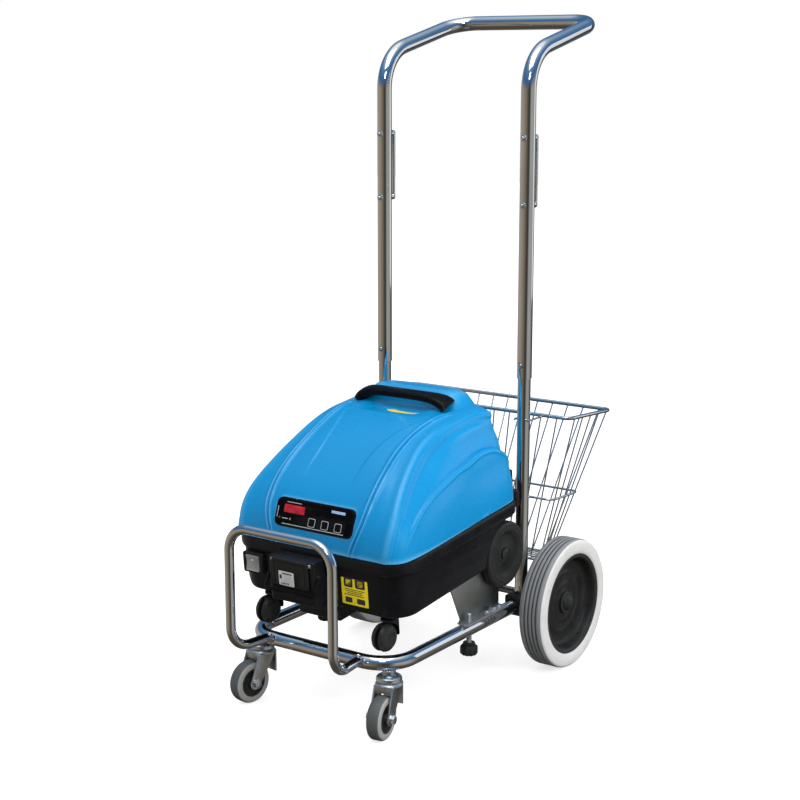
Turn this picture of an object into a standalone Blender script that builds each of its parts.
"""Commercial steam cleaner on a two-wheeled trolley, as an assembly of separate pieces.

Lengths are in millimetres and are turned into metres by M where Blender needs them. The trolley
frame's origin is on the floor, midway between the two uprights, with +Y backwards and +Z up. The
cleaning unit has its own frame, pitched nose down, with its origin on its ground line under the
axle of its own wheels.
"""

from math import cos, exp, pi, radians, sin, tan

import bmesh
import bpy
from mathutils import Matrix, Vector

M = 0.001
GAP = 0.3

# Trolley
UPRIGHT_Y = 109.5
TRACK = 128.0
TUBE_R = 11.0
RAIL_Z = 102.0
FRONT_BAR_Y = -342.0
RAIL_END_Y = 66.0
BASE_BEND_R = 50.0
POST_R = 10.0
POST_FOOT_Z = 114.0
POST_TOP_Z = 600.0
SLEEVE_END_Z = 452.0
BORE_R = 10.45
HANDLE_R = 11.2
HANDLE_CORNER_Z = 925.0
HANDLE_BEND_R = 66.0
HANDLE_SLOPE = radians(13.9)
GRIP_Y = 200.0
GRIP_BEND_R = 41.0
BUTTON_Z, BUTTON_HOLE_R = 472.0, 4.0
LOCK_HOLES, LOCK_PITCH = 3, 50.0
HOOK_LOW_Z, HOOK_HIGH_Z = 709.0, 806.0

# Rear wheels and axle
WHEEL_R = 100.0
WHEEL_IN, WHEEL_OUT = 156.0, 196.0
TYRE_SEAT_R = 78.0
AXLE_Y, AXLE_Z, AXLE_R = 45.0, 100.0, 6.0
BLOCK_HALF, BLOCK_FRONT_Y, BLOCK_REAR_Y = 15.0, -25.0, 70.0

# Front bumper
BUMPER_R = 7.0
BUMPER_X, BUMPER_Y, BUMPER_TOP_Z = 90.0, -423.0, 287.0
BUMPER_WELD_X, BUMPER_LOW_Z = 80.0, 106.0

# Front casters
CASTER_X, CASTER_Y, CASTER_TRAIL = 114.0, -328.0, 25.0
CASTER_TURN = radians(10.0)
CASTER_WHEEL_R, CASTER_WHEEL_HALF = 31.0, 11.0
FORK_TOP_Z, FORK_BASE_Z, STEM_BASE_Z = 77.0, 70.0, 77.4

# Cradle and its clamps
PLATE_X, PLATE_T = 121.0, 2.5
FLANGE_OUT_X = 141.0
PLATE_FRONT_Y, PLATE_REAR_Y = -168.0, -57.0
CLAMP_Y, BOLT_Y = -152.5, -88.0
STUD_R = 4.0
KNOB_R, KNOB_TOP_Z, KNOB_H = 13.0, 84.0, 19.0

# Basket
BASKET_TOP_Z, BASKET_BASE_Z, BASKET_RIM_DROP = 391.0, 165.0, 9.0
BASKET_TOP = (190.0, 31.0, 168.0)
BASKET_BASE = (145.0, 24.0, 72.0)
BASKET_WALL = 2.5

# Cleaning unit
UNIT_X = -6.0
UNIT_Y, UNIT_Z = -57.2, 146.2
UNIT_PITCH = radians(5.5)
UNIT_HALF = 153.0
UNIT_FRONT, UNIT_REAR = -278.0, 33.0
SEAM_Z, RIM_LOW_Z, SHELL_BASE_Z = 129.0, 108.0, 44.0
SHELL_WALL = 3.0
SUMP_LOW, SUMP_HIGH = (-42.0, -266.0, 21.0), (34.0, -140.0, SHELL_BASE_Z + 1.0)
HOOD_MID_Y, HOOD_TOP_Z = -60.0, 278.0
NOSE_POWER, BACK_POWER = 1.65, 8.0
SECTION_POWER_NOSE, SECTION_POWER_BACK = 1.5, 3.0
PLAN_POWER, BLEND = 10.0, 14.0
CREST_HEIGHT = 16.0
HOOD_WALL, SEAM_GAP = 3.0, 1.0
UNIT_WHEEL_R, UNIT_WHEEL_IN, UNIT_WHEEL_OUT = 50.0, 131.0, 147.0
UNIT_AXLE_R = 4.0
ARCH_R, ARCH_X = 57.0, 111.0
UNIT_CASTER_X, UNIT_CASTER_Y, UNIT_CASTER_TRAIL = 104.0, -245.0, 15.0
UNIT_CASTER_R, UNIT_CASTER_Z = 20.0, 12.0

# Carry handle on the hood
HANDLE_FOOT_X, HANDLE_FOOT_Z, HANDLE_Y = 68.0, 281.0, -46.0
HANDLE_TOP_Z, HANDLE_THICK, HANDLE_WIDE = 302.0, 16.0, 26.0

# Control panel, in the plane of the hood's front face
PANEL_SIZE = (137.0, 41.0, 6.0)
PANEL_AT = (1.0, -265.5, 173.0)
PANEL_LEAN = radians(24.0)
BUTTON_PITCH, BUTTON_SIZE = 23.0, 13.0
BUTTON_U, BUTTON_V = -2.0, -8.5
WINDOW_U, WINDOW_V = -36.0, 5.5

# Socket and switch on the front of the lower shell
BOX_X, BOX_HALF, BOX_FRONT = -21.0, 40.0, -300.0
BOX_LOW_Z, BOX_TOP_Z = 52.0, 119.0
SWITCH_AT = (-110.0, -271.0, 89.0)
SWITCH_SIZE = (36.0, 8.0, 31.0)


# ---------------------------------------------------------------- scene and materials

def clear_scene():
    for obj in list(bpy.data.objects):
        bpy.data.objects.remove(obj, do_unlink=True)


def new_collection(name):
    collection = bpy.data.collections.new(name)
    bpy.context.scene.collection.children.link(collection)
    return collection


def make_material(name, colour, roughness, metallic=0.0):
    material = bpy.data.materials.new(name)
    material.use_nodes = True
    shader = material.node_tree.nodes["Principled BSDF"]
    shader.inputs["Base Color"].default_value = (*colour, 1.0)
    shader.inputs["Roughness"].default_value = roughness
    shader.inputs["Metallic"].default_value = metallic
    return material


FINISHES = {
    "chrome": ((0.75, 0.76, 0.78), 0.12, 1.0),
    "stainless": ((0.62, 0.61, 0.58), 0.35, 1.0),
    "zinc": ((0.60, 0.62, 0.62), 0.4, 1.0),
    "copper": ((0.70, 0.40, 0.25), 0.35, 1.0),
    "blue_plastic": ((0.0, 0.30, 0.72), 0.35, 0.0),
    "black_plastic": ((0.015, 0.015, 0.017), 0.4, 0.0),
    "grey_rubber": ((0.55, 0.56, 0.57), 0.6, 0.0),
    "red_window": ((0.55, 0.02, 0.03), 0.2, 0.0),
    "clear_tank": ((0.75, 0.8, 0.85), 0.3, 0.0),
    "green_board": ((0.02, 0.2, 0.06), 0.5, 0.0),
}


# ---------------------------------------------------------------- building blocks

class Builder:
    """Holds the collections and the two frames that pieces are placed in."""

    def __init__(self):
        self.parts = new_collection("steam_cleaner")
        self.cutters = new_collection("cutters")
        self.trolley = self.empty("trolley_frame", (0, UPRIGHT_Y, 0), None)
        self.unit = self.empty("unit_frame", (UNIT_X, UNIT_Y, UNIT_Z), self.trolley)
        self.unit.rotation_euler = (UNIT_PITCH, 0, 0)

    def empty(self, name, at, parent):
        obj = bpy.data.objects.new(name, None)
        self.parts.objects.link(obj)
        obj.location = Vector(at) * M
        obj.parent = parent
        return obj


def add_object(name, data, finish=None):
    """A new object for data; finish None makes it a cutter."""
    obj = bpy.data.objects.new(name, data)
    if finish is None:
        BUILD.cutters.objects.link(obj)
        obj.hide_render = True
        obj.display_type = "WIRE"
    else:
        BUILD.parts.objects.link(obj)
        material = bpy.data.materials.get(name) or make_material(name, *FINISHES[finish])
        obj.data.materials.append(material)
    return obj


def mesh_from(bm, name):
    mesh = bpy.data.meshes.new(name)
    bm.to_mesh(mesh)
    bm.free()
    return mesh


def smooth(obj, angle=35.0):
    obj.data.shade_smooth()
    obj.data.set_sharp_from_angle(angle=radians(angle))


def turn_to(axis):
    """The rotation that takes +Z to the named axis."""
    return {
        "X": Matrix.Rotation(pi / 2, 4, "Y"),
        "Y": Matrix.Rotation(-pi / 2, 4, "X"),
        "Z": Matrix.Identity(4),
    }[axis]


def cylinder(name, radius, low, high, at, axis="Z", finish=None, segments=18):
    """A cylinder from low to high along axis, through the point at."""
    bm = bmesh.new()
    bmesh.ops.create_cone(
        bm, cap_ends=True, segments=segments, radius1=radius * M,
        radius2=radius * M, depth=(high - low) * M,
    )
    along = Matrix.Translation((0, 0, (high + low) / 2 * M))
    bm.transform(Matrix.Translation(Vector(at) * M) @ turn_to(axis) @ along)
    obj = add_object(name, mesh_from(bm, name), finish)
    smooth(obj)
    return obj


def box(name, low, high, finish=None, bevel=0.0, segments=2):
    """A box between two corners, with rounded edges."""
    low, high = Vector(low) * M, Vector(high) * M
    bm = bmesh.new()
    bmesh.ops.create_cube(bm, size=1.0)
    bm.transform(Matrix.Translation((low + high) / 2) @ Matrix.Diagonal((*(high - low), 1)))
    obj = add_object(name, mesh_from(bm, name), finish)
    if bevel:
        round_edges(obj, bevel, segments)
    return obj


def round_edges(obj, width, segments=2, angle=30.0):
    bevel = obj.modifiers.new("round", "BEVEL")
    bevel.width = width * M
    bevel.segments = segments
    bevel.limit_method = "ANGLE"
    bevel.angle_limit = radians(angle)
    bevel.harden_normals = False


def turned(name, profile, at, axis, finish, steps=18, flip=False):
    """A turned piece: profile is (radius, height) from the top down its outer side."""
    bm = bmesh.new()
    verts = [bm.verts.new((r * M, 0, z * M)) for r, z in profile]
    for a, b in zip(verts, verts[1:]):
        bm.edges.new((a, b))
    obj = add_object(name, mesh_from(bm, name), finish)
    screw = obj.modifiers.new("turn", "SCREW")
    screw.axis = "Z"
    screw.steps = steps
    screw.render_steps = steps
    screw.use_merge_vertices = True
    screw.merge_threshold = 0.00001
    screw.use_smooth_shade = True
    flipped = Matrix.Rotation(pi, 4, "X") if flip else Matrix.Identity(4)
    obj.matrix_local = Matrix.Translation(Vector(at) * M) @ turn_to(axis) @ flipped
    return obj


def rounded_path(corners, radius, steps=6):
    """The points of a path with every inner corner rounded to a radius."""
    corners = [Vector(c) for c in corners]
    points = [corners[0]]
    for before, corner, after in zip(corners, corners[1:], corners[2:]):
        a, b = (before - corner).normalized(), (after - corner).normalized()
        half = a.angle(b) / 2
        centre = corner + (a + b).normalized() * radius / sin(half)
        start = corner + a * radius / tan(half)
        normal = (start - centre).cross(corner + b * radius / tan(half) - centre).normalized()
        turn = pi - 2 * half
        for i in range(steps + 1):
            points.append(centre + Matrix.Rotation(turn * i / steps, 3, normal) @ (start - centre))
    points.append(corners[-1])
    return points


def tube(name, points, radius, finish, resolution=3):
    """A round bar or tube along a path, with closed ends."""
    curve = bpy.data.curves.new(name, "CURVE")
    curve.dimensions = "3D"
    curve.bevel_depth = radius * M
    curve.bevel_resolution = resolution
    curve.use_fill_caps = True
    spline = curve.splines.new("POLY")
    spline.points.add(len(points) - 1)
    for knot, point in zip(spline.points, points):
        knot.co = (*(Vector(point) * M), 1)
    return add_object(name, curve, finish)


def plate(name, outline, low, high, axis, finish=None, holes=()):
    """A flat outline, extruded from low to high along an axis.

    An outline's points are (y, z) for axis X, (x, z) for axis Y and (x, y) for axis Z.
    """
    curve = bpy.data.curves.new(name, "CURVE")
    curve.dimensions = "2D"
    curve.fill_mode = "BOTH"
    curve.extrude = (high - low) / 2 * M
    for loop in (outline, *holes):
        spline = curve.splines.new("POLY")
        spline.points.add(len(loop) - 1)
        spline.use_cyclic_u = True
        for knot, (u, v) in zip(spline.points, loop):
            knot.co = (u * M, v * M, 0, 1)
    obj = add_object(name, curve, finish)
    middle = (low + high) / 2 * M
    stand = {
        "X": Matrix(((0, 0, 1, middle), (1, 0, 0, 0), (0, 1, 0, 0), (0, 0, 0, 1))),
        "Y": Matrix(((1, 0, 0, 0), (0, 0, -1, middle), (0, 1, 0, 0), (0, 0, 0, 1))),
        "Z": Matrix.Translation((0, 0, middle)),
    }[axis]
    obj.matrix_local = stand
    return obj


def as_mesh(obj):
    """Replaces a curve object by the mesh it makes, with its caps welded on."""
    bpy.context.view_layer.update()
    mesh = bpy.data.meshes.new_from_object(obj.evaluated_get(bpy.context.evaluated_depsgraph_get()))
    bm = bmesh.new()
    bm.from_mesh(mesh)
    bmesh.ops.remove_doubles(bm, verts=bm.verts, dist=0.000001)
    bm.to_mesh(mesh)
    bm.free()
    name, matrix, is_part = obj.name, obj.matrix_world.copy(), not obj.hide_render
    curve = obj.data
    bpy.data.objects.remove(obj, do_unlink=True)
    bpy.data.curves.remove(curve)
    solid = bpy.data.objects.new(name, mesh)
    (BUILD.parts if is_part else BUILD.cutters).objects.link(solid)
    if not is_part:
        solid.hide_render = True
        solid.display_type = "WIRE"
    mesh.name = name
    mesh.transform(matrix)
    smooth(solid)
    return solid


def combine(obj, others, operation="DIFFERENCE"):
    """Cuts the others from obj, or joins them to it."""
    for other in others:
        modifier = obj.modifiers.new(operation.lower(), "BOOLEAN")
        modifier.operation = operation
        modifier.object = other
    return obj


def place(obj, frame, pivot=None):
    """Parents a piece to a frame and puts its origin on its pivot."""
    if pivot is not None:
        move = Matrix.Translation(Vector(pivot) * M)
        if not obj.modifiers.get("turn"):
            obj.data.transform(move.inverted() @ obj.matrix_basis)
            obj.matrix_basis = move
    obj.parent = frame
    return obj


def follow(cutters, frame):
    for cutter in cutters:
        cutter.parent = frame


def circle(centre, radius, count=16, start=0.0, sweep=2 * pi):
    """Points round an arc; a whole circle leaves out the repeated last point."""
    last = count if sweep < 2 * pi - 0.001 else count - 1
    angles = [start + sweep * i / count for i in range(last + 1)]
    return [(centre[0] + radius * cos(a), centre[1] + radius * sin(a)) for a in angles]


def rounded_rectangle(half, front, rear, front_r, rear_r, steps=6):
    """An anticlockwise outline, starting at the front right corner."""
    corners = (
        (half - front_r, front + front_r, front_r, -pi / 2),
        (half - rear_r, rear - rear_r, rear_r, 0.0),
        (-half + rear_r, rear - rear_r, rear_r, pi / 2),
        (-half + front_r, front + front_r, front_r, pi),
    )
    points = []
    for x, y, radius, start in corners:
        points += circle((x, y), radius, steps, start, pi / 2)
    return points


def loft(name, rings, finish, close_first, close_last):
    """A surface through rings of the same number of points, each ring anticlockwise from above."""
    bm = bmesh.new()
    rows = [[bm.verts.new(Vector(p) * M) for p in ring] for ring in rings]
    count = len(rows[0])
    for low, high in zip(rows, rows[1:]):
        for i in range(count):
            j = (i + 1) % count
            bm.faces.new((low[i], low[j], high[j], high[i]))
    if close_first:
        bm.faces.new(rows[0][::-1])
    if close_last:
        bm.faces.new(rows[-1])
    obj = add_object(name, mesh_from(bm, name), finish)
    smooth(obj)
    return obj


# ---------------------------------------------------------------- trolley

def build_base_frame():
    corners = [
        (-TRACK, RAIL_END_Y, RAIL_Z), (-TRACK, FRONT_BAR_Y, RAIL_Z),
        (TRACK, FRONT_BAR_Y, RAIL_Z), (TRACK, RAIL_END_Y, RAIL_Z),
    ]
    path = rounded_path(corners, BASE_BEND_R, 6)
    frame = as_mesh(tube("base_frame", path, TUBE_R, "chrome"))
    holes = [cylinder("axle_hole", AXLE_R + 0.4, -160, 160, (0, AXLE_Y, AXLE_Z), "X")]
    for side in (-1, 1):
        for y, low in ((CLAMP_Y, 80), (BOLT_Y, 96)):
            holes.append(cylinder("stud_hole", STUD_R + 0.4, low, 130, (side * 132, y, 0), segments=16))
    combine(frame, holes)
    follow(holes, BUILD.trolley)
    place(frame, BUILD.trolley)


def build_axle_block(side, name):
    x = side * TRACK
    block = box(
        name, (x - BLOCK_HALF, BLOCK_FRONT_Y, RAIL_Z - BLOCK_HALF),
        (x + BLOCK_HALF, BLOCK_REAR_Y, RAIL_Z + BLOCK_HALF + 1), "black_plastic", 4.0, 1,
    )
    cutters = [
        cylinder("rail_bore", TUBE_R + 0.4, BLOCK_FRONT_Y - 5, RAIL_END_Y + GAP, (x, 0, RAIL_Z), "Y"),
        cylinder("axle_bore", AXLE_R + 0.4, -20, 20, (x, AXLE_Y, AXLE_Z), "X"),
        cylinder("post_bore", POST_R + 0.4, RAIL_Z, RAIL_Z + 40, (x, 0, 0)),
    ]
    combine(block, cutters)
    follow(cutters, BUILD.trolley)
    place(block, BUILD.trolley)


def build_post(side, name):
    """Inner upright, with a row of holes that the handle's snap button locks into."""
    x = side * TRACK
    post = cylinder(name, POST_R, POST_FOOT_Z, POST_TOP_Z, (x, 0, 0), "Z", "stainless")
    holes = [
        cylinder("button_hole", BUTTON_HOLE_R, -20, 0, (x, 0, BUTTON_Z + LOCK_PITCH * i), "Y", segments=16)
        for i in range(LOCK_HOLES)
    ]
    combine(post, holes)
    follow(holes, BUILD.trolley)
    place(post, BUILD.trolley)


def build_axle():
    end = 184.0
    cap = [(0.0, 9.0), (6.0, 8.0), (11.0, 5.0), (13.0, 0.4)]
    profile = [(r, end + z) for r, z in cap] + [(AXLE_R, end + 0.4), (AXLE_R, -end - 0.4)]
    profile += [(r, -end - z) for r, z in reversed(cap)]
    place(turned("wheel_axle", profile, (0, AXLE_Y, AXLE_Z), "X", "zinc", 16), BUILD.trolley)


def build_bumper():
    weld_y = FRONT_BAR_Y - TUBE_R - GAP
    corners = [
        (-BUMPER_WELD_X, weld_y, BUMPER_LOW_Z), (-BUMPER_X, BUMPER_Y, BUMPER_LOW_Z),
        (-BUMPER_X, BUMPER_Y, BUMPER_TOP_Z), (BUMPER_X, BUMPER_Y, BUMPER_TOP_Z),
        (BUMPER_X, BUMPER_Y, BUMPER_LOW_Z), (BUMPER_WELD_X, weld_y, BUMPER_LOW_Z),
    ]
    path = rounded_path(corners, 34.0, 5)
    place(tube("front_bumper", path, BUMPER_R, "chrome"), BUILD.trolley)


def build_rear_wheel(side, name):
    """Grey tyre on a black hub; the wheel turns on the fixed axle."""
    at = (0, AXLE_Y, AXLE_Z)
    tyre = [
        (TYRE_SEAT_R, WHEEL_OUT), (WHEEL_R - 4, WHEEL_OUT), (WHEEL_R, WHEEL_OUT - 5),
        (WHEEL_R, WHEEL_IN + 5), (WHEEL_R - 4, WHEEL_IN), (TYRE_SEAT_R, WHEEL_IN),
        (TYRE_SEAT_R, WHEEL_OUT),
    ]
    rim = TYRE_SEAT_R - GAP
    bore = AXLE_R + GAP
    hub = [
        (bore, 184), (17, 184), (17, 178), (66, 174), (73, 194), (rim, 195),
        (rim, 157), (73, 158), (66, 166), (17, 166), (17, 153), (bore, 153), (bore, 184),
    ]
    for label, profile, finish in (("tyre", tyre, "grey_rubber"), ("hub", hub, "black_plastic")):
        piece = turned(f"{name}_{label}", profile, at, "X", finish, 26, flip=side < 0)
        place(piece, BUILD.trolley)


def build_caster(side, name):
    """Fixed stem under the frame, swivelling fork, axle, hub and tyre."""
    frame = BUILD.empty(f"{name}_frame", (side * CASTER_X, CASTER_Y, 0), BUILD.trolley)
    frame.rotation_euler = (0, 0, side * CASTER_TURN)
    stem_top = RAIL_Z - TUBE_R - GAP
    stem = [(0, stem_top), (9, stem_top), (9, 85), (17, 83), (18, STEM_BASE_Z), (0, STEM_BASE_Z)]
    place(turned(f"{name}_stem", stem, (0, 0, 0), "Z", "zinc", 14), frame)
    at = (0, -CASTER_TRAIL, CASTER_WHEEL_R)
    build_caster_fork(f"{name}_fork", at, frame)
    head = [(0, 21), (5, 21), (6.5, 20), (6.5, 15.4), (4, 15.4)]
    bolt = head + [(r, -z) for r, z in reversed(head)]
    place(turned(f"{name}_axle", bolt, at, "X", "zinc", 16), frame)
    half = CASTER_WHEEL_HALF
    tyre = [
        (21, half - 1), (27, half - 1), (CASTER_WHEEL_R, half - 5), (CASTER_WHEEL_R, 5 - half),
        (27, 1 - half), (21, 1 - half), (21, half - 1),
    ]
    place(turned(f"{name}_tyre", tyre, at, "X", "grey_rubber", 18), frame)
    seat = 21 - GAP
    hub = [
        (4.3, half + 1), (8, half + 1), (9, half - 3), (seat, half - 1),
        (seat, 1 - half), (9, 3 - half), (8, -half - 1), (4.3, -half - 1), (4.3, half + 1),
    ]
    place(turned(f"{name}_hub", hub, at, "X", "black_plastic", 18), frame)


def build_caster_fork(name, at, frame):
    crown = [(0, FORK_TOP_Z), (17, FORK_TOP_Z), (20, 74), (20, FORK_BASE_Z), (0, FORK_BASE_Z)]
    fork = turned(name, crown, (0, 0, 0), "Z", "zinc", 14)
    outline = [(15, FORK_BASE_Z + 3), (-17, FORK_BASE_Z + 3)]
    outline += circle(at[1:], 10.0, 8, pi, pi * 0.85)
    inner = CASTER_WHEEL_HALF + 1.5
    legs = [
        as_mesh(plate("fork_leg", outline, low, low + 2.5, "X")) for low in (-inner - 2.5, inner)
    ]
    bore = cylinder("fork_bore", 4.3, -22, 22, at, "X", segments=16)
    combine(fork, legs, "UNION")
    combine(fork, [bore])
    follow(legs + [bore], frame)
    place(fork, frame)


def build_cradle(side, name):
    """Bracket plate that carries the unit's axle, with a flange bolted to the rail."""
    top = UNIT_Z + 50
    axle_y, axle_z = unit_point(0, 0, UNIT_WHEEL_R)[1:]
    slot = UNIT_AXLE_R + 1.0
    outline = [
        (PLATE_FRONT_Y, RAIL_Z + TUBE_R + 0.5), (PLATE_REAR_Y, RAIL_Z + TUBE_R + 0.5),
        (PLATE_REAR_Y, 136), (axle_y + 16, 160), (axle_y + 16, top + 8), (axle_y + slot, top + 8),
    ]
    outline += circle((axle_y, axle_z), slot, 6, 0, -pi)
    outline += [(axle_y - slot, top + 8), (axle_y - 18, top + 8), (-118, 181), (-190, 174)]
    low, high = sorted((side * PLATE_X, side * (PLATE_X + PLATE_T)))
    bracket = as_mesh(plate(f"cradle_bracket_{name}", outline, low, high, "X", "stainless"))
    inner, outer = sorted((side * PLATE_X, side * FLANGE_OUT_X))
    base = RAIL_Z + TUBE_R + GAP
    flange = box(
        "bracket_flange", (inner, PLATE_FRONT_Y, base), (outer, PLATE_REAR_Y, base + PLATE_T),
    )
    holes = [
        cylinder("flange_hole", STUD_R + 0.4, 100, 130, (side * 132, y, 0), segments=16)
        for y in (CLAMP_Y, BOLT_Y)
    ]
    combine(bracket, [flange], "UNION")
    combine(bracket, holes)
    follow([flange] + holes, BUILD.trolley)
    place(bracket, BUILD.trolley)
    seat = base + PLATE_T + GAP
    bolt = [(0, seat + 5.5), (5.5, seat + 5.5), (7, seat + 4.5), (7, seat), (STUD_R, seat)]
    bolt += [(STUD_R, 98), (0, 98)]
    at = (side * 132, BOLT_Y, 0)
    place(turned(f"bracket_bolt_{name}", bolt, at, "Z", "zinc", 12), BUILD.trolley)
    build_clamp_knob((side * 132, CLAMP_Y, 0), f"clamp_knob_{name}")


def build_clamp_knob(at, name):
    low = KNOB_TOP_Z - KNOB_H
    tip = 128.0
    profile = [
        (0, tip), (STUD_R - 1, tip), (STUD_R, tip - 1), (STUD_R, KNOB_TOP_Z), (9, KNOB_TOP_Z),
        (9, KNOB_TOP_Z - 4), (KNOB_R, KNOB_TOP_Z - 6), (KNOB_R, low + 2), (KNOB_R - 2, low), (0, low),
    ]
    place(turned(name, profile, at, "Z", "black_plastic", 16), BUILD.trolley)


def build_basket():
    rings = []
    for (half, front, rear), z in ((BASKET_BASE, BASKET_BASE_Z), (BASKET_TOP, BASKET_TOP_Z)):
        drop = BASKET_RIM_DROP * (z - BASKET_BASE_Z) / (BASKET_TOP_Z - BASKET_BASE_Z)
        outline = rounded_rectangle(half, front, rear, 12, 12, 3)
        rings.append([(x, y, z - drop * (y - front) / (rear - front)) for x, y in outline])
    basket = loft("basket", rings, "chrome", True, False)
    wall = basket.modifiers.new("wall", "SOLIDIFY")
    wall.thickness = BASKET_WALL * M
    wall.offset = -1
    place(basket, BUILD.trolley)


# ---------------------------------------------------------------- push handle

def build_push_handle():
    rise = tan(HANDLE_SLOPE)
    grip_z = HANDLE_CORNER_Z + GRIP_Y * rise
    middle = (TRACK, GRIP_Y / 2, HANDLE_CORNER_Z + GRIP_Y / 2 * rise)
    lower = [(TRACK, 0, SLEEVE_END_Z), (TRACK, 0, HANDLE_CORNER_Z), middle]
    upper = [middle, (TRACK, GRIP_Y, grip_z), (0, GRIP_Y, grip_z)]
    half = rounded_path(lower, HANDLE_BEND_R, 6)[:-1] + rounded_path(upper, GRIP_BEND_R, 6)[1:-1]
    path = half + [Vector((-p.x, p.y, p.z)) for p in reversed(half)]
    handle = as_mesh(tube("push_handle", path, HANDLE_R, "chrome", 4))
    cutters = []
    for side in (-1, 1):
        x = side * TRACK
        low, high = SLEEVE_END_Z - 5, POST_TOP_Z + 3
        cutters.append(cylinder("sleeve_bore", BORE_R, low, high, (x, 0, 0), segments=24))
        cutters.append(cylinder("button_bore", BUTTON_HOLE_R, -20, 0, (x, 0, BUTTON_Z), "Y", segments=16))
    combine(handle, cutters)
    follow(cutters, BUILD.trolley)
    place(handle, BUILD.trolley)


def build_snap_button(side, name):
    x = side * TRACK
    profile = [(0, 3.6), (1.8, 3.3), (3.0, 2.2), (3.4, 0.8), (3.4, 0), (0, 0)]
    button = turned(name, profile, (x, -BORE_R - 0.1, BUTTON_Z), "Y", "zinc", 16, flip=True)
    place(button, BUILD.trolley)


def build_cord_hook(side, name):
    """Strap standing off the back of the upright, held by a screw at each end."""
    x = side * TRACK
    seat_y = HANDLE_R + GAP
    strap = box(
        name, (x - 5, seat_y + 8, HOOK_LOW_Z - 5), (x + 5, seat_y + 11, HOOK_HIGH_Z + 5),
        "stainless", 1.0, 1,
    )
    spacers = [
        cylinder("spacer", 4.5, seat_y, seat_y + 9, (x, 0, z), "Y", segments=16)
        for z in (HOOK_LOW_Z, HOOK_HIGH_Z)
    ]
    combine(strap, spacers, "UNION")
    follow(spacers, BUILD.trolley)
    place(strap, BUILD.trolley)


# ---------------------------------------------------------------- cleaning unit

def unit_point(x, y, z):
    """A point of the unit's frame, in the trolley's frame."""
    c, s = cos(UNIT_PITCH), sin(UNIT_PITCH)
    return (UNIT_X + x, UNIT_Y + y * c - z * s, UNIT_Z + y * s + z * c)


def hood_point(azimuth, rise):
    """A point of the hood's skin, seen from the middle of its base in one direction.

    The skin is where three cylinders with rounded outlines meet: the side view, the front view
    and the plan. Each gives a share of 1 at its own outline, and a high power blends them. The
    front view is more pointed towards the nose than at the back.
    """
    flat = cos(rise)
    dx, dy, dz = flat * cos(azimuth), flat * sin(azimuth), sin(rise)
    length = (HOOD_MID_Y - UNIT_FRONT) if dy < 0 else (UNIT_REAR - HOOD_MID_Y)
    along, across, up = abs(dy) / length, abs(dx) / UNIT_HALF, dz / (HOOD_TOP_Z - SEAM_Z)
    nose = max(0.0, -dy) ** 2 * (3 + 2 * min(0.0, dy))
    side_power = NOSE_POWER if dy < 0 else BACK_POWER
    front_power = SECTION_POWER_BACK + (SECTION_POWER_NOSE - SECTION_POWER_BACK) * nose
    side_view = (along ** side_power + up ** side_power) ** (1 / side_power)
    front_view = (across ** front_power + up ** front_power) ** (1 / front_power)
    plan = (across ** PLAN_POWER + along ** PLAN_POWER) ** (1 / PLAN_POWER)
    share = (side_view ** BLEND + front_view ** BLEND + plan ** BLEND) ** (1 / BLEND)
    scale = 2 ** (1 / BLEND) / share
    x, y, z = dx * scale, HOOD_MID_Y + dy * scale, SEAM_Z + SEAM_GAP + dz * scale
    crest = exp(-((abs(x) - 62) / 30) ** 2 - ((y - 2) / 30) ** 2)
    return (x, y, z + CREST_HEIGHT * crest * (up * scale) ** 2)


def build_hood():
    around, levels = 44, 9
    rings = []
    for i in range(levels):
        rise = (pi / 2) * i / levels
        rings.append([hood_point(2 * pi * j / around, rise) for j in range(around)])
    hood = loft("hood", rings, "blue_plastic", False, True)
    wall = hood.modifiers.new("wall", "SOLIDIFY")
    wall.thickness = HOOD_WALL * M
    wall.offset = -1
    opening = panel_box("panel_opening", (PANEL_SIZE[0] + 0.8, PANEL_SIZE[1] + 0.8, 60))
    combine(hood, [opening])
    opening.parent = BUILD.unit
    place(hood, BUILD.unit)


def shell_ring(inset, z, radius=45.0):
    front_r = max(radius - inset, 8)
    points = rounded_rectangle(
        UNIT_HALF - inset, UNIT_FRONT + inset, UNIT_REAR - inset, front_r, max(22 - inset, 6), 5,
    )
    return [(x, y, z) for x, y in points]


def shell_outside(name, finish, grow=0.0):
    """The lower shell's outer form, as a solid; grow stands it off all round."""
    steps = (
        (13, SHELL_BASE_Z - grow), (8, SHELL_BASE_Z + 5), (6, 60), (4, RIM_LOW_Z),
        (0, RIM_LOW_Z + 4), (0, SEAM_Z - 3), (2, SEAM_Z + grow),
    )
    rings = [shell_ring(inset - grow, z) for inset, z in steps]
    return loft(name, rings, finish, True, True)


def stand_off_shell(obj):
    """Trims a piece that sits on the lower shell to the shell's form."""
    room = shell_outside("shell_room", None, GAP)
    combine(obj, [room])
    room.parent = BUILD.unit


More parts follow.
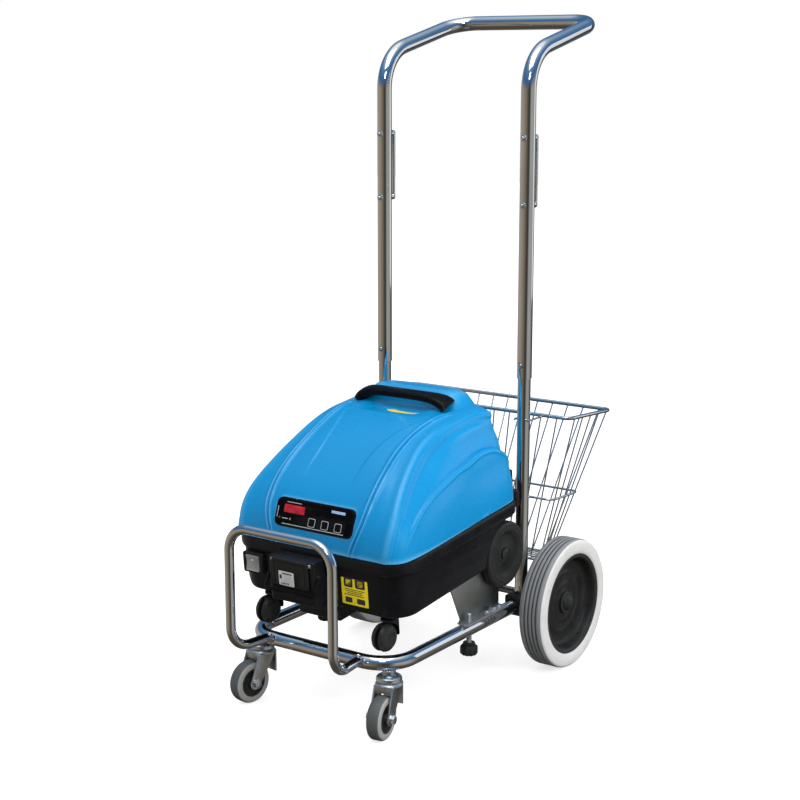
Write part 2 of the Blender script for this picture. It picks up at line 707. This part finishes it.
def build_lower_shell():
    inner = [
        shell_ring(17, SHELL_BASE_Z + SHELL_WALL), shell_ring(10, 60), shell_ring(8, RIM_LOW_Z),
        shell_ring(6, SEAM_Z - 3), shell_ring(6, SEAM_Z + 10),
    ]
    shell = shell_outside("lower_shell", "black_plastic")
    hollow = loft("shell_hollow", inner, None, True, True)
    at = (0, 0, UNIT_WHEEL_R)
    arches, liners = [], []
    for side in (-1, 1):
        low, high = sorted((side * ARCH_X, side * 200))
        arches.append(cylinder("wheel_arch", ARCH_R, low, high, at, "X", segments=28))
        low, high = sorted((side * (ARCH_X - SHELL_WALL), side * 200))
        liners.append(cylinder("arch_liner", ARCH_R + SHELL_WALL, low, high, at, "X", segments=28))
    combine(hollow, liners)
    sump = box("sump", SUMP_LOW, SUMP_HIGH, None, 5.0, 2)
    combine(shell, [sump], "UNION")
    axle_hole = cylinder("unit_axle_hole", UNIT_AXLE_R + 0.4, -160, 160, at, "X", segments=16)
    combine(shell, [hollow] + arches + [axle_hole])
    follow([hollow, axle_hole, sump] + arches + liners, BUILD.unit)
    place(shell, BUILD.unit)


def build_carry_handle():
    """Black grip across the hood, wider than it is thick, on two feet."""
    corners = [
        (-HANDLE_FOOT_X - 8, 0, HANDLE_FOOT_Z - 4), (-HANDLE_FOOT_X + 26, 0, HANDLE_TOP_Z),
        (HANDLE_FOOT_X - 26, 0, HANDLE_TOP_Z), (HANDLE_FOOT_X + 8, 0, HANDLE_FOOT_Z - 4),
    ]
    path = rounded_path(corners, 30.0, 4)
    grip = as_mesh(tube("carry_handle", path, HANDLE_THICK / 2, "black_plastic", 3))
    grip.data.transform(Matrix.Diagonal((1, HANDLE_WIDE / HANDLE_THICK, 1, 1)))
    grip.data.transform(Matrix.Translation(Vector((0, HANDLE_Y, 0)) * M))
    room = box("handle_seat", (-100, HANDLE_Y - 40, 240), (100, HANDLE_Y + 40, HANDLE_FOOT_Z + 2.5))
    combine(grip, [room])
    room.parent = BUILD.unit
    place(grip, BUILD.unit)


def panel_matrix():
    """The panel's frame: x across, y up the slope, z out of the face."""
    c, s = cos(PANEL_LEAN), sin(PANEL_LEAN)
    x, y, z = Vector((1, 0, 0)), Vector((0, s, c)), Vector((0, -c, s))
    matrix = Matrix((x, y, z)).transposed().to_4x4()
    return Matrix.Translation(Vector(PANEL_AT) * M) @ matrix


def panel_box(name, size, centre=(0, 0, 0), finish=None, bevel=0.0):
    half = [s / 2 for s in size]
    low = [c - h for c, h in zip(centre, half)]
    high = [c + h for c, h in zip(centre, half)]
    obj = box(name, low, high, finish, bevel, 2)
    obj.data.transform(panel_matrix())
    return obj


def build_control_panel():
    panel = panel_box("control_panel", PANEL_SIZE, (0, 0, 0), "black_plastic", 1.5)
    face = PANEL_SIZE[2] / 2
    cutters = [panel_box("window_pocket", (37, 12.6, 4), (WINDOW_U, WINDOW_V, face))]
    slope = Vector((0, sin(PANEL_LEAN), cos(PANEL_LEAN)))
    normal = Vector((0, -cos(PANEL_LEAN), sin(PANEL_LEAN)))
    for i in range(3):
        u, v = BUTTON_U + BUTTON_PITCH * i, BUTTON_V
        slot = BUTTON_SIZE + 0.8
        cutters.append(panel_box("button_slot", (slot, slot, 30), (u, v, 0)))
        size = (BUTTON_SIZE, BUTTON_SIZE, 4)
        button = panel_box(f"panel_button_{i + 1}", size, (u, v, face - 1.2), "black_plastic")
        pivot = Vector(PANEL_AT) + Vector((u, 0, 0)) + slope * v + normal * face
        place(button, BUILD.unit, pivot)
    combine(panel, cutters)
    follow(cutters, BUILD.unit)
    place(panel, BUILD.unit)
    window = panel_box("display_window", (36, 11.6, 2), (WINDOW_U, WINDOW_V, face - 0.7), "red_window")
    place(window, BUILD.unit)


def build_switch():
    x, y, z = SWITCH_AT
    w, d, h = SWITCH_SIZE
    low, high = (x - w / 2, y - d, z - h / 2), (x + w / 2, y + 6, z + h / 2)
    frame = box("switch_frame", low, high, "black_plastic", 1.5)
    slot = box("rocker_slot", (x - 12.5, y - 20, z - 12.5), (x + 12.5, y - 2.5, z + 12.5))
    combine(frame, [slot])
    stand_off_shell(frame)
    slot.parent = BUILD.unit
    place(frame, BUILD.unit)
    outline = [(y - d + 2.5, z + 11.5), (y - d - 1.5, z + 10.5), (y - d + 0.4, z)]
    outline += [(y - d - 0.2, z - 11.0), (y - d + 2.5, z - 11.5)]
    rocker = as_mesh(plate("power_switch", outline, x - 11.8, x + 11.8, "X", "black_plastic"))
    place(rocker, BUILD.unit, (x, y - d + 2.5, z))


def build_connector():
    """Socket housing on the shell's front, with a sprung cover and a locking bail."""
    low = (BOX_X - BOX_HALF, BOX_FRONT, BOX_LOW_Z)
    high = (BOX_X + BOX_HALF, UNIT_FRONT + 14, BOX_TOP_Z)
    housing = box("connector_box", low, high, "black_plastic", 3.0)
    socket = box("socket_hole", (BOX_X - 28, BOX_FRONT - 5, 82), (BOX_X + 28, BOX_FRONT + 14, 110))
    combine(housing, [socket])
    stand_off_shell(housing)
    socket.parent = BUILD.unit
    place(housing, BUILD.unit)
    hinge_z = BOX_TOP_Z - 2
    front = BOX_FRONT - GAP
    low, high = (BOX_X - 32, front - 4, 78), (BOX_X + 32, front, hinge_z + 1)
    cover = box("socket_cover", low, high, "black_plastic", 1.5)
    place(cover, BUILD.unit, (BOX_X, front - 2, hinge_z))
    reach, pivot_z, bar_z = BOX_HALF + 3.5, 96.0, 72.0
    arm_y = BOX_FRONT + 8
    corners = [
        (BOX_X - reach, arm_y, pivot_z), (BOX_X - reach, BOX_FRONT - 8, bar_z),
        (BOX_X + reach, BOX_FRONT - 8, bar_z), (BOX_X + reach, arm_y, pivot_z),
    ]
    bail = as_mesh(tube("locking_lever", rounded_path(corners, 5.0, 3), 2.2, "zinc", 2))
    place(bail, BUILD.unit, (BOX_X, arm_y, pivot_z))


def build_unit_wheels():
    at = (0, 0, UNIT_WHEEL_R)
    r, low, high = UNIT_WHEEL_R, UNIT_WHEEL_IN, UNIT_WHEEL_OUT
    bore = UNIT_AXLE_R + GAP
    profile = [
        (bore, high - 5), (30, high - 5), (36, high - 3), (39, high), (r - 4, high), (r, high - 4),
        (r, low + 3), (r - 3, low), (bore, low), (bore, high - 5),
    ]
    for side, name in ((-1, "left"), (1, "right")):
        wheel = turned(f"unit_wheel_{name}", profile, at, "X", "black_plastic", 22, flip=side < 0)
        place(wheel, BUILD.unit)
    end = high - 4.5
    axle = [(0, end + 3), (6, end + 2), (8, end), (UNIT_AXLE_R, end)]
    axle += [(r, -z) for r, z in reversed(axle)]
    place(turned("unit_axle", axle, at, "X", "zinc", 16), BUILD.unit)


def build_unit_caster(side, name):
    """Small furniture caster: a swivelling body over a ball-like pair of wheels."""
    x = side * UNIT_CASTER_X
    wheel_y = UNIT_CASTER_Y - UNIT_CASTER_TRAIL
    z = UNIT_CASTER_Z
    base = SHELL_BASE_Z - 1.0
    body = [(0, base), (9, base), (9, 36), (13, 34), (13, z), (11, z - 3), (0, z - 3)]
    fork = turned(f"unit_caster_{name}_fork", body, (x, UNIT_CASTER_Y, 0), "Z", "black_plastic", 14)
    room = cylinder("caster_room", UNIT_CASTER_R + 1, -20, 20, (x, wheel_y, z), "X", segments=24)
    web = box("caster_web", (x - 2.5, wheel_y - 6, z - 6), (x + 2.5, UNIT_CASTER_Y + 11, z + 20))
    bore = cylinder("web_bore", 3.4, -15, 15, (x, wheel_y, z), "X", segments=16)
    combine(fork, [room])
    combine(fork, [web], "UNION")
    combine(fork, [bore])
    follow([room, web, bore], BUILD.unit)
    place(fork, BUILD.unit)
    r = UNIT_CASTER_R
    half = [(0, 13), (9, 13), (r - 3, 10), (r, 3), (3, 3)]
    wheels = half + [(radius, -along) for radius, along in reversed(half)]
    at = (x, wheel_y, z)
    wheel = turned(f"unit_caster_{name}_wheel", wheels, at, "X", "black_plastic", 18)
    place(wheel, BUILD.unit)


# ---------------------------------------------------------------- inside the unit

def build_inside():
    boiler = [(0, 196), (22, 194), (40, 186), (47, 174), (47, 80), (42, 66), (24, 61), (0, 61)]
    place(turned("boiler", boiler, (-52, -120, 0), "Z", "stainless", 20), BUILD.unit)
    element = [(0, 60.7), (21, 60.7), (21, 57), (9, 56), (9, 50), (0, 50)]
    place(turned("heating_element", element, (-52, -120, 0), "Z", "copper", 20), BUILD.unit)
    valve = [(0, 222), (5, 222), (6, 212), (9, 210), (9, 202), (6, 200), (6, 196.4), (0, 196.4)]
    place(turned("safety_valve", valve, (-52, -120, 0), "Z", "copper", 16), BUILD.unit)
    place(box("water_tank", (10, -185, 52), (98, -45, 190), "clear_tank", 10, 2), BUILD.unit)
    place(cylinder("pump", 19, -250, -192, (60, 0, 78), "Y", "black_plastic"), BUILD.unit)
    place(box("solenoid_valve", (-100, -52, 60), (-64, -22, 104), "black_plastic", 2, 1), BUILD.unit)
    place(box("control_board", (-62, -232, 110), (62, -230.4, 160), "green_board"), BUILD.unit)


def build_all():
    build_base_frame()
    build_axle()
    build_bumper()
    build_basket()
    build_push_handle()
    for side, name in ((-1, "left"), (1, "right")):
        build_axle_block(side, f"axle_block_{name}")
        build_post(side, f"post_{name}")
        build_rear_wheel(side, f"rear_wheel_{name}")
        build_caster(side, f"caster_{name}")
        build_cradle(side, name)
        build_snap_button(side, f"snap_button_{name}")
        build_cord_hook(side, f"cord_hook_{name}")
        build_unit_caster(side, name)
    build_hood()
    build_lower_shell()
    build_carry_handle()
    build_control_panel()
    build_switch()
    build_connector()
    build_unit_wheels()
    build_inside()


clear_scene()
BUILD = Builder()
build_all()
